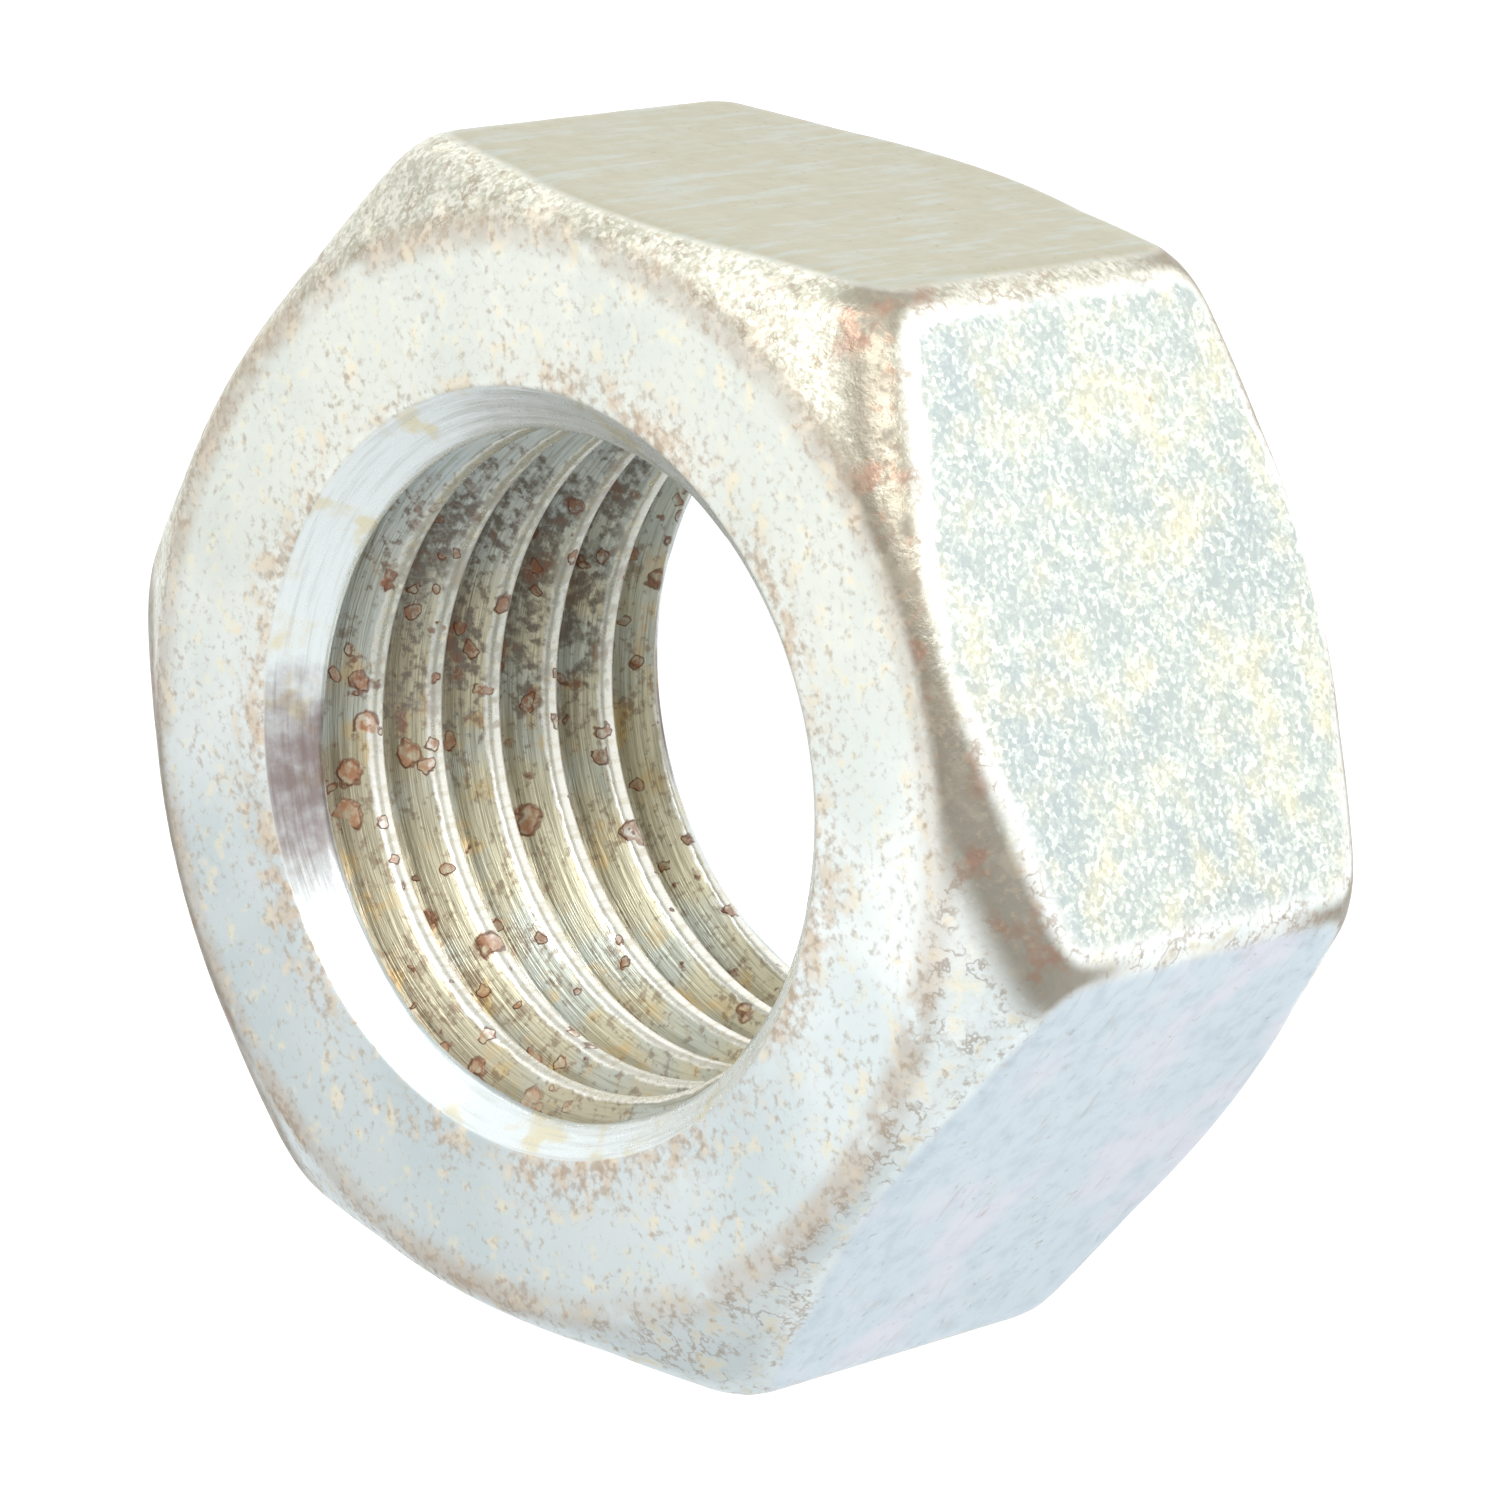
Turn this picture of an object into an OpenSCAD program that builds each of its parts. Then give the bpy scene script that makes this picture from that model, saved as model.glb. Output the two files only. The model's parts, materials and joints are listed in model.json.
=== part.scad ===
// Plain hexagon nut for a metric coarse thread of 36 mm nominal diameter.
// The nut lies on one bearing face: the origin is the centre of that face,
// +Z runs up the thread axis and +X points at one corner of the hexagon.

/* [Hexagon] */
// Width across two opposite flats
across_flats = 54.5; // [53.8:0.1:55]
// Width across two opposite corners, measured over their rounded edges
across_corners = 61.7; // [60.8:0.1:62]
// Thickness from one bearing face to the other
thickness = 27.6; // [27.4:0.1:29]

/* [Bearing faces] */
// Outer diameter of the flat ring that bears on the work
bearing_d = 51.8; // [51.1:0.1:53]
// Slope of the corner chamfer half way across it, measured from the bearing face
chamfer_angle = 33; // [20:1:35]

/* [Bore] */
// Diameter of the bore over the thread crests
bore_d = 32.2; // [31.7:0.1:32.7]
// Diameter of the countersink where it meets the bearing face
countersink_d = 36.9; // [36:0.1:38]
// Angle between opposite sides of the countersink
countersink_angle = 90; // [90:10:120]

/* [Hidden] */

// Cutters pass this far through the faces that they open
over = 1;
round_fn = 96;
dome_fn = 180;

bearing_r = bearing_d / 2;
bore_r = bore_d / 2;
countersink_r = countersink_d / 2;
countersink_slope = tan(countersink_angle / 2);
countersink_depth = (countersink_r - bore_r) / countersink_slope;
chamfer_middle_r = (bearing_r + across_corners / 2) / 2;
dome_r = chamfer_middle_r / sin(chamfer_angle);
// Distance from the middle of the dome up to the bearing face that it surrounds
dome_rise = sqrt(pow(dome_r, 2) - pow(bearing_r, 2));

// Hexagonal bar with its six edges turned down to a round
module hexagon_bar() {
    intersection() {
        cylinder(h = thickness, r = across_flats / 2 / cos(30), $fn = 6);
        cylinder(h = thickness, d = across_corners, $fn = round_fn);
    }
}

// Large ball that leaves the lower bearing ring flat and takes the corners off round it
module chamfer_dome() {
    translate([0, 0, dome_rise]) sphere(r = dome_r, $fn = dome_fn);
}

// The bar after both its ends have been chamfered: the forming die is slightly domed
module blank() {
    intersection() {
        hexagon_bar();
        chamfer_dome();
        translate([0, 0, thickness]) mirror([0, 0, 1]) chamfer_dome();
    }
}

// Cone that opens the lower end of the bore, drawn from below the face
module countersink() {
    translate([0, 0, -over])
        cylinder(h = countersink_depth + over,
                 r1 = countersink_r + over * countersink_slope,
                 r2 = bore_r,
                 $fn = round_fn);
}

// Bore over the thread crests, open at both ends
module bore() {
    translate([0, 0, -over])
        cylinder(h = thickness + 2 * over, r = bore_r, $fn = round_fn);
}

// The nut: one piece of zinc-plated steel
module hex_nut() {
    color("#cfd3d2")
        difference() {
            blank();
            bore();
            countersink();
            translate([0, 0, thickness]) mirror([0, 0, 1]) countersink();
        }
}

hex_nut();
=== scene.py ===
# %% [markdown]
# # A zinc-plated hexagon nut
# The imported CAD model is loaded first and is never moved. It holds the real sizes, the
# mounts and the collision shape. This lesson builds what the eye sees around it: the same
# nut with worn edges, a true helical thread and an aged zinc finish.

# %% Load the frame
import json
import math

import bpy
from mathutils import Matrix, Vector


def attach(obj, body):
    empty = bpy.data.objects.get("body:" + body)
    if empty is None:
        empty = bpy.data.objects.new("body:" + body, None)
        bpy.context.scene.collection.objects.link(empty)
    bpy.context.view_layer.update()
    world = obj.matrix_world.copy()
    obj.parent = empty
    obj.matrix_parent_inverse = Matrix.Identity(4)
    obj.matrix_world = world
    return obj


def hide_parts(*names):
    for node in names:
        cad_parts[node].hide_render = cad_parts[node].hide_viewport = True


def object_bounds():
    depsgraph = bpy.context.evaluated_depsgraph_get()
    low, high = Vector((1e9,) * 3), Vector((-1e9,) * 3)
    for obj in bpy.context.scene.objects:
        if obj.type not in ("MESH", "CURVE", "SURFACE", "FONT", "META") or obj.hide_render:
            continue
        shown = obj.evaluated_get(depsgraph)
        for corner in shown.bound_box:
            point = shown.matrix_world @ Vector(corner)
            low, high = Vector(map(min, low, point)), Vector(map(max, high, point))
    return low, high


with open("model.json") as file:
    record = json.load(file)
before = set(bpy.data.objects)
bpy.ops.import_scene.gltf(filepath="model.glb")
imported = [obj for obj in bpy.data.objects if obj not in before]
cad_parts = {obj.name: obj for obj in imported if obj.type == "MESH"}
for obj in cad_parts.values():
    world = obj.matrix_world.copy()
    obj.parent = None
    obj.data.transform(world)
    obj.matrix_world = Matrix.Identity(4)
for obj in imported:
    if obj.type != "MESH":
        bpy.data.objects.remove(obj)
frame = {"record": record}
cad_low, cad_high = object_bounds()
MM = 0.001
print("CAD box in mm:", [round(v / MM, 2) for v in (*cad_low, *cad_high)])

# %% [markdown]
# ## Sizes
# A hexagon nut is drawn from very few numbers. The box of the CAD model gives the width
# across the flats (along Y), the width across the corners (along X) and the thickness
# (along Z). The thread mount in the record gives the radius over the thread crests. What
# is left is the wear that CAD leaves out: how round each edge has become.

# %% Sizes
across_flats = cad_high.y - cad_low.y
across_corners = cad_high.x - cad_low.x
thickness = cad_high.z - cad_low.z
thread = next(m for m in frame["record"]["mounts"] if m["name"] == "thread")
bore_radius = thread["dims"]["r_mm"] * MM
wall_length = thread["dims"]["length_mm"] * MM
pitch = 4 * MM
mouth_radius = bore_radius + (thickness - wall_length) / 2
root_radius = 18.2 * MM
bearing_radius = 25.9 * MM
chamfer_angle = math.radians(33)
# A corner of radius c takes c * (1 / cos 30 - 1) off the sharp corner of the hexagon
sharp_corner = across_flats / 2 / math.cos(math.pi / 6)
corner_radius = (sharp_corner - across_corners / 2) / (1 / math.cos(math.pi / 6) - 1)
print("corner radius in mm:", round(corner_radius / MM, 2))

# %% [markdown]
# ## One helper for every node
# Geometry and material trees are long lists of small nodes. One function adds a node,
# gives it its settings and joins its inputs, so that each line below reads as one step.
# An input may be a number, another node (its first live output is used) or a socket.

# %% The node helper
def add(tree, kind, inputs=(), **settings):
    """Add a node to a tree, give it its settings and join or fill its inputs."""
    made = tree.nodes.new(kind)
    for key, value in settings.items():
        setattr(made, key, value)
    live = [s for s in made.inputs if s.enabled]
    pairs = inputs.items() if isinstance(inputs, dict) else enumerate(inputs)
    for key, value in pairs:
        socket = live[key] if isinstance(key, int) else next(s for s in live if s.name == key)
        if isinstance(value, bpy.types.Node):
            value = next(s for s in value.outputs if s.enabled)
        if isinstance(value, bpy.types.NodeSocket):
            tree.links.new(value, socket)
        else:
            socket.default_value = value
    return made


MATH = "ShaderNodeMath"
RANGE = "ShaderNodeMapRange"

# %% [markdown]
# ## The nut's shape
# A real nut is cold-formed to a hexagon, faced, countersunk and tapped. It could be cut
# from a solid with booleans, but they leave ragged triangles where the helix runs out.
# Here the skin is a grid of columns round the axis. Geometry Nodes bend it: each column
# walks the nut's outline from the mouth of the countersink, over the bearing face, down
# the chamfer and down the flat. Every bend on that walk is an arc with its own radius, so
# the worn edges are real geometry. The thread wall is a second grid whose rows climb one
# pitch in each turn, so that the edges of the thread run along the mesh.

# %% Tree inputs
nut_tree = bpy.data.node_groups.new("hexagon nut", "GeometryNodeTree")
SIZES = {
    "Across Flats": across_flats,
    "Thickness": thickness,
    "Corner Radius": corner_radius,
    "Bearing Radius": bearing_radius,
    "Chamfer Angle": chamfer_angle,
    "Mouth Radius": mouth_radius,
    "Bore Radius": bore_radius,
    "Root Radius": root_radius,
    "Pitch": pitch,
    "First Crest": 1.17 * MM,
    "Mouth Edge": 0.5 * MM,
    "Bearing Edge": 2.4 * MM,
    "Flat Edge": 3.8 * MM,
    "Unevenness": 0.06 * MM,
}
COUNTS = {"Columns": 360, "Rows per Pitch": 16}
sockets = {}
for name in SIZES:
    sockets[name] = nut_tree.interface.new_socket(name, in_out="INPUT", socket_type="NodeSocketFloat")
for name in COUNTS:
    sockets[name] = nut_tree.interface.new_socket(name, in_out="INPUT", socket_type="NodeSocketInt")
finish_socket = nut_tree.interface.new_socket("Finish", in_out="INPUT", socket_type="NodeSocketMaterial")
nut_tree.interface.new_socket("Mesh", in_out="OUTPUT", socket_type="NodeSocketGeometry")
given = nut_tree.nodes.new("NodeGroupInput")
size = {s.name: s for s in given.outputs}
print("tree inputs in mm:", {name: round(value / MM, 2) for name, value in SIZES.items()
                             if name != "Chamfer Angle"})

# %% [markdown]
# ### Columns and the rounded hexagon
# The grid starts as a unit square: x counts the columns and y the rows. The column angle
# is squeezed a little towards the six corners, where the outline turns fastest. Inside
# one sixth of a turn, the outline is a straight flat, then a small arc about a centre
# that sits on the corner's own axis.

# %% Column angle
SIXTH = math.pi / 3
HALF_FLAT = math.pi / 6
# At 0 the columns are evenly spaced, and at 1 they would meet at the corners
SQUEEZE = 0.45
grid_place = add(nut_tree, "ShaderNodeSeparateXYZ", [add(nut_tree, "GeometryNodeInputPosition")])
across = add(nut_tree, MATH, [grid_place.outputs["X"], 0.5], operation="ADD")
down = add(nut_tree, MATH, [grid_place.outputs["Y"], 0.5], operation="ADD")
even_turn = add(nut_tree, MATH, [across, 2 * math.pi], operation="MULTIPLY")
sixfold = add(nut_tree, MATH, [add(nut_tree, MATH, [even_turn, 6.0], operation="MULTIPLY")],
              operation="SINE")
turn = add(nut_tree, MATH, [sixfold, -SQUEEZE / 6, even_turn], operation="MULTIPLY_ADD")
cosine = add(nut_tree, MATH, [turn], operation="COSINE")
sine = add(nut_tree, MATH, [turn], operation="SINE")
widest_step = 360 * (1 + SQUEEZE) / COUNTS["Columns"]
print("columns:", COUNTS["Columns"], "at most", round(widest_step, 2), "degrees apart")

# %% Rounded hexagon
inside_sixth = add(nut_tree, MATH, [turn, SIXTH], operation="FLOORED_MODULO")
from_middle = add(nut_tree, MATH, [add(nut_tree, MATH, [inside_sixth, HALF_FLAT], operation="SUBTRACT")],
                  operation="ABSOLUTE")
half_width = add(nut_tree, MATH, [size["Across Flats"], 0.5], operation="MULTIPLY")
on_flat = add(nut_tree, MATH, [half_width, add(nut_tree, MATH, [from_middle], operation="COSINE")],
              operation="DIVIDE")
from_corner = add(nut_tree, MATH, [HALF_FLAT, from_middle], operation="SUBTRACT")
arc_centre = add(nut_tree, MATH, [
    add(nut_tree, MATH, [half_width, size["Corner Radius"]], operation="SUBTRACT"),
    math.cos(HALF_FLAT)], operation="DIVIDE")
arc_side = add(nut_tree, MATH, [arc_centre, add(nut_tree, MATH, [from_corner], operation="SINE")],
               operation="MULTIPLY")
arc_rise = add(nut_tree, MATH, [add(nut_tree, MATH, [
    add(nut_tree, MATH, [size["Corner Radius"], 2.0], operation="POWER"),
    add(nut_tree, MATH, [arc_side, 2.0], operation="POWER")], operation="SUBTRACT")], operation="SQRT")
on_arc = add(nut_tree, MATH, [arc_centre, add(nut_tree, MATH, [from_corner], operation="COSINE"), arc_rise],
             operation="MULTIPLY_ADD")
arc_end = add(nut_tree, MATH, [
    add(nut_tree, MATH, [size["Corner Radius"], math.sin(HALF_FLAT)], operation="MULTIPLY"),
    add(nut_tree, MATH, [size["Corner Radius"], math.cos(HALF_FLAT), arc_centre],
        operation="MULTIPLY_ADD")], operation="ARCTAN2")
in_corner = add(nut_tree, MATH, [from_corner, arc_end], operation="LESS_THAN")
outline = add(nut_tree, "ShaderNodeMix", [in_corner, on_flat, on_arc], data_type="FLOAT")

# %% [markdown]
# ### The walk over the skin
# Every stretch of the walk is a line or an arc, and takes its share of the rows. A
# stretch adds nothing before its rows begin and its full length once they are over, so
# the stretches can simply be added up. An arc of radius r that turns from heading a to
# heading b moves by r * (sin b - sin a) outwards and r * (cos b - cos a) upwards.

# %% Lengths taken up by the bends
COUNTERSINK_TURN = math.pi / 4
chamfer_cos = add(nut_tree, MATH, [size["Chamfer Angle"]], operation="COSINE")
chamfer_sin = add(nut_tree, MATH, [size["Chamfer Angle"]], operation="SINE")
mouth_cut = add(nut_tree, MATH, [size["Mouth Edge"], math.tan(COUNTERSINK_TURN / 2)], operation="MULTIPLY")
beyond_bearing = add(nut_tree, MATH, [outline, size["Bearing Radius"]], operation="SUBTRACT")
bearing_tangent = add(nut_tree, MATH, [
    add(nut_tree, MATH, [size["Chamfer Angle"], 0.5], operation="MULTIPLY")], operation="TANGENT")
flat_tangent = add(nut_tree, MATH, [
    add(nut_tree, MATH, [size["Chamfer Angle"], -0.5, math.pi / 4], operation="MULTIPLY_ADD")],
    operation="TANGENT")
wanted = add(nut_tree, MATH, [
    add(nut_tree, MATH, [size["Bearing Edge"], bearing_tangent], operation="MULTIPLY"),
    add(nut_tree, MATH, [size["Flat Edge"], flat_tangent], operation="MULTIPLY")], operation="ADD")
# At the middle of a flat the chamfer is short. Bends longer than it would fold the
# surface over itself, so there both of them tighten in proportion until they fit
BENDS_MAY_TAKE = 0.96
slope = add(nut_tree, MATH, [beyond_bearing, chamfer_cos], operation="DIVIDE")
room = add(nut_tree, MATH, [add(nut_tree, MATH, [slope, BENDS_MAY_TAKE], operation="MULTIPLY"), wanted],
           operation="DIVIDE")
tighten = add(nut_tree, MATH, [room, 1.0], operation="MINIMUM")
bearing_bend = add(nut_tree, MATH, [size["Bearing Edge"], tighten], operation="MULTIPLY")
flat_bend = add(nut_tree, MATH, [size["Flat Edge"], tighten], operation="MULTIPLY")
bearing_cut = add(nut_tree, MATH, [bearing_bend, bearing_tangent], operation="MULTIPLY")
flat_cut = add(nut_tree, MATH, [flat_bend, flat_tangent], operation="MULTIPLY")
ring_length = add(nut_tree, MATH, [
    add(nut_tree, MATH, [size["Bearing Radius"], size["Mouth Radius"]], operation="SUBTRACT"),
    add(nut_tree, MATH, [bearing_cut, mouth_cut], operation="ADD")], operation="SUBTRACT")
slope_length = add(nut_tree, MATH, [
    slope, add(nut_tree, MATH, [bearing_cut, flat_cut], operation="ADD")], operation="SUBTRACT")
chamfer_drop = add(nut_tree, MATH, [beyond_bearing, add(nut_tree, MATH, [
    chamfer_sin, chamfer_cos], operation="DIVIDE")], operation="MULTIPLY")
side_length = add(nut_tree, MATH, [
    add(nut_tree, MATH, [size["Thickness"], 0.5], operation="MULTIPLY"),
    add(nut_tree, MATH, [chamfer_drop, flat_cut], operation="ADD")], operation="SUBTRACT")
mouth_start = add(nut_tree, MATH, [mouth_cut, math.cos(COUNTERSINK_TURN)], operation="MULTIPLY")

# %% Walk the outline
SKIN_ROWS = {"mouth bend": 4, "bearing ring": 12, "bearing bend": 5, "chamfer": 6, "flat bend": 5,
             "flat": 20}
skin_total = sum(SKIN_ROWS.values())
print("rows of the skin:", skin_total)
straights = {
    "bearing ring": (ring_length, 1.0, 0.0),
    "chamfer": (slope_length, chamfer_cos, add(nut_tree, MATH, [chamfer_sin, -1.0], operation="MULTIPLY")),
    "flat": (side_length, 0.0, -1.0),
}
bends = {
    "mouth bend": (size["Mouth Edge"], -COUNTERSINK_TURN, 0.0),
    "bearing bend": (bearing_bend, 0.0, size["Chamfer Angle"]),
    "flat bend": (flat_bend, size["Chamfer Angle"], math.pi / 2),
}
skin_r = add(nut_tree, MATH, [size["Mouth Radius"], mouth_start], operation="SUBTRACT")
skin_z = add(nut_tree, MATH, [size["Thickness"], mouth_start], operation="SUBTRACT")
row = 0
for stretch, rows in SKIN_ROWS.items():
    begin, end = row / skin_total, (row + rows) / skin_total
    row += rows
    if stretch in straights:
        length, out, up = straights[stretch]
        walked = add(nut_tree, RANGE, [down, begin, end, 0.0, length])
        skin_r = add(nut_tree, MATH, [walked, out, skin_r], operation="MULTIPLY_ADD")
        skin_z = add(nut_tree, MATH, [walked, up, skin_z], operation="MULTIPLY_ADD")
    else:
        radius, first, last = bends[stretch]
        heading = add(nut_tree, RANGE, [down, begin, end, first, last])
        for part, wave in (("r", "SINE"), ("z", "COSINE")):
            now = add(nut_tree, MATH, [heading], operation=wave)
            before = add(nut_tree, MATH, [first], operation=wave)
            moved = add(nut_tree, MATH, [now, before], operation="SUBTRACT")
            if part == "r":
                skin_r = add(nut_tree, MATH, [moved, radius, skin_r], operation="MULTIPLY_ADD")
            else:
                skin_z = add(nut_tree, MATH, [moved, radius, skin_z], operation="MULTIPLY_ADD")
skin_place = add(nut_tree, "ShaderNodeCombineXYZ", [
    add(nut_tree, MATH, [skin_r, cosine], operation="MULTIPLY"),
    add(nut_tree, MATH, [skin_r, sine], operation="MULTIPLY"), skin_z])

# %% Upper and lower skin
column_count = add(nut_tree, MATH, [size["Columns"], 1.0], operation="ADD")
skin_grid = add(nut_tree, "GeometryNodeMeshGrid",
                {"Size X": 1.0, "Size Y": 1.0, "Vertices X": column_count, "Vertices Y": skin_total + 1})
skin_upper = add(nut_tree, "GeometryNodeSetPosition", {"Geometry": skin_grid, "Position": skin_place})
skin_turned = add(nut_tree, "GeometryNodeTransform", {
    "Geometry": skin_upper, "Scale": (1.0, 1.0, -1.0),
    "Translation": add(nut_tree, "ShaderNodeCombineXYZ", [0.0, 0.0, size["Thickness"]])})
skin_lower = add(nut_tree, "GeometryNodeFlipFaces", [skin_turned])

# %% [markdown]
# ### The thread wall
# The rows of the second grid climb with the angle, one pitch in a turn, and are held
# between the two mouths. A row's place within its pitch then decides how deep it lies:
# a flat crest of a fifth of a pitch, a straight flank a little over 30 degrees from the
# radius, a flat root of an eighth of a pitch. The countersink is a cone, and whichever of
# cone and thread is further out wins. Near the mouth the groove fades out, so that the
# cone stays whole there, and the first turn of the thread runs in gently.

# %% Thread rows
ROWS_BELOW = 20
WALL_ROWS = 126
CREST_SHARE = 0.10
ROOT_SHARE = 0.4375
flank_width = (ROOT_SHARE - CREST_SHARE) * pitch
flank_lean = math.degrees(math.atan2(flank_width, root_radius - bore_radius))
print("flanks lean", round(flank_lean, 1), "degrees from the radius")
wall_bottom = mouth_start
wall_top = add(nut_tree, MATH, [size["Thickness"], mouth_start], operation="SUBTRACT")
row_number = add(nut_tree, MATH, [down, float(WALL_ROWS), -float(ROWS_BELOW)], operation="MULTIPLY_ADD")
row_pitches = add(nut_tree, MATH, [row_number, size["Rows per Pitch"]], operation="DIVIDE")
turns = add(nut_tree, MATH, [turn, 2 * math.pi], operation="DIVIDE")
climb = add(nut_tree, MATH, [row_pitches, turns], operation="ADD")
free_z = add(nut_tree, MATH, [climb, size["Pitch"], size["First Crest"]], operation="MULTIPLY_ADD")
held_low = add(nut_tree, MATH, [free_z, wall_bottom], operation="MAXIMUM")
wall_z = add(nut_tree, MATH, [held_low, wall_top], operation="MINIMUM")
in_pitch = add(nut_tree, MATH, [
    add(nut_tree, MATH, [wall_z, size["First Crest"]], operation="SUBTRACT"), size["Pitch"]],
    operation="DIVIDE")
phase = add(nut_tree, MATH, [
    add(nut_tree, MATH, [add(nut_tree, MATH, [in_pitch, turns], operation="SUBTRACT"), 0.5],
        operation="ADD")], operation="FRACT")
off_crest = add(nut_tree, MATH, [add(nut_tree, MATH, [phase, 0.5], operation="SUBTRACT")],
                operation="ABSOLUTE")
full_groove = add(nut_tree, RANGE, [off_crest, CREST_SHARE, ROOT_SHARE, 0.0, 1.0])
depth_below = add(nut_tree, MATH, [
    wall_z, add(nut_tree, MATH, [size["Thickness"], wall_z], operation="SUBTRACT")], operation="MINIMUM")
# The first turn of the thread is shallow, because the tap and the countersink share it
RUN_IN = (0.8 * MM, 2.6 * MM)
run_in = add(nut_tree, RANGE, [depth_below, *RUN_IN], interpolation_type="SMOOTHSTEP")
groove = add(nut_tree, MATH, [full_groove, run_in], operation="MULTIPLY")
thread_r = add(nut_tree, RANGE, [groove, 0.0, 1.0, size["Bore Radius"], size["Root Radius"]])

# %% Countersinks and the wall
cone_r = add(nut_tree, MATH, [size["Mouth Radius"], depth_below], operation="SUBTRACT")
wall_r = add(nut_tree, MATH, [thread_r, cone_r], operation="MAXIMUM")
wall_place = add(nut_tree, "ShaderNodeCombineXYZ", [
    add(nut_tree, MATH, [wall_r, cosine], operation="MULTIPLY"),
    add(nut_tree, MATH, [wall_r, sine], operation="MULTIPLY"), wall_z])
wall_grid = add(nut_tree, "GeometryNodeMeshGrid",
                {"Size X": 1.0, "Size Y": 1.0, "Vertices X": column_count, "Vertices Y": WALL_ROWS + 1})
groove_kept = add(nut_tree, "GeometryNodeStoreNamedAttribute",
                  {"Geometry": wall_grid, "Name": "groove", "Value": groove}, data_type="FLOAT")
wall_marked = add(nut_tree, "GeometryNodeStoreNamedAttribute",
                  {"Geometry": groove_kept, "Name": "wall", "Value": 1.0}, data_type="FLOAT")
wall_mesh = add(nut_tree, "GeometryNodeSetPosition", {"Geometry": wall_marked, "Position": wall_place})

# %% [markdown]
# ### Closing and wearing the surface
# The two skins and the wall share their border points, so merging by distance closes the
# solid. A gentle noise then moves the surface in and out by a few hundredths of a
# millimetre, as forging and tumbling leave it.

# %% Join, close, wear
WELD = 0.002 * MM
DENTS_PER_METRE = 160.0
joined = add(nut_tree, "GeometryNodeJoinGeometry")
for branch in (skin_upper, skin_lower, wall_mesh):
    nut_tree.links.new(branch.outputs["Geometry" if "Geometry" in branch.outputs else "Mesh"],
                       joined.inputs["Geometry"])
closed = add(nut_tree, "GeometryNodeMergeByDistance", {"Geometry": joined, "Distance": WELD})
slow = add(nut_tree, "ShaderNodeTexNoise", {"Scale": DENTS_PER_METRE, "Detail": 3.0})
lift = add(nut_tree, MATH, [
    add(nut_tree, MATH, [slow.outputs[0], 0.5], operation="SUBTRACT"), size["Unevenness"]],
    operation="MULTIPLY")
outwards = add(nut_tree, "GeometryNodeInputNormal")
push = add(nut_tree, "ShaderNodeVectorMath", {"Vector": outwards, "Scale": lift}, operation="SCALE")
worn = add(nut_tree, "GeometryNodeSetPosition", {"Geometry": closed, "Offset": push})
smooth = add(nut_tree, "GeometryNodeSetShadeSmooth", {"Geometry": worn})
real = add(nut_tree, "GeometryNodeRealizeInstances", [smooth])
coated = add(nut_tree, "GeometryNodeSetMaterial", {"Geometry": real, "Material": size["Finish"]})
add(nut_tree, "NodeGroupOutput", {"Mesh": coated})
print("nodes in the nut tree:", len(nut_tree.nodes))

# %% [markdown]
# ## The finish: electroplated zinc, passivated blue-white
# The nut is steel with a few hundredths of a millimetre of zinc on it, put on in a barrel
# of plating bath. The zinc is bright and finely crystalline, so it is a satin metal and
# never a mirror. A passivation dip leaves a clear film that looks faintly blue, or straw
# where it is thicker. In a damp store the film whitens, brown grime settles into the
# grain, and rust comes through where the plating is thinnest, in the thread.
# One material holds all of that, because on the real nut it is one continuous coat.

# %% Colours
def tint(code):
    """Turn an sRGB hex colour into the linear values that a shader works with."""
    parts = [int(code[i:i + 2], 16) / 255 for i in (1, 3, 5)]
    linear = [p / 12.92 if p <= 0.04045 else ((p + 0.055) / 1.055) ** 2.4 for p in parts]
    return (*linear, 1.0)


zinc = bpy.data.materials.new("blue_white_zinc_plate")
zinc.use_nodes = True
coat = zinc.node_tree
surface = coat.nodes["Principled BSDF"]
SMOOTH = {"interpolation_type": "SMOOTHSTEP"}

# %% [markdown]
# ### Where on the nut
# Object coordinates are scaled to millimetres, so every number below can be read against
# a ruler. The radius, the gap to the nearer bearing face and the two attributes that the
# thread wall carries are enough to tell every region of the nut from the others.

# %% Millimetre coordinates
here = add(coat, "ShaderNodeTexCoord")
place = add(coat, "ShaderNodeVectorMath", {"Vector": here.outputs["Object"], "Scale": 1 / MM},
            operation="SCALE")
axis = add(coat, "ShaderNodeSeparateXYZ", [place])
radius = add(coat, "ShaderNodeVectorMath", [
    add(coat, "ShaderNodeVectorMath", [place, (1.0, 1.0, 0.0)], operation="MULTIPLY")], operation="LENGTH")
below_top = add(coat, MATH, [thickness / MM, axis.outputs["Z"]], operation="SUBTRACT")
end_gap = add(coat, MATH, [axis.outputs["Z"], below_top], operation="MINIMUM")
wall = add(coat, "ShaderNodeAttribute", attribute_name="wall").outputs["Fac"]
groove_depth = add(coat, "ShaderNodeAttribute", attribute_name="groove").outputs["Fac"]

# %% Flats
RING_EDGE = bearing_radius / MM
MOUTH_EDGE = mouth_radius / MM
flat_reach = {}
for angle in (30, 90, 150):
    way = (math.cos(math.radians(angle)), math.sin(math.radians(angle)), 0.0)
    along = add(coat, "ShaderNodeVectorMath", [place, way], operation="DOT_PRODUCT")
    flat_reach[angle] = add(coat, MATH, [along], operation="ABSOLUTE")
FLAT = across_flats / 2 / MM
farthest = add(coat, MATH, [flat_reach[30], flat_reach[150]], operation="MAXIMUM")
farthest = add(coat, MATH, [farthest, flat_reach[90]], operation="MAXIMUM")
FLAT_FADE = (FLAT - 0.32, FLAT - 0.06)
flats = add(coat, RANGE, [farthest, *FLAT_FADE], **SMOOTH)
front_flats = add(coat, RANGE, [flat_reach[90], *FLAT_FADE], **SMOOTH)
print("in mm: mouth", round(MOUTH_EDGE, 2), "ring", round(RING_EDGE, 2), "flats", round(FLAT, 2))

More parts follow.
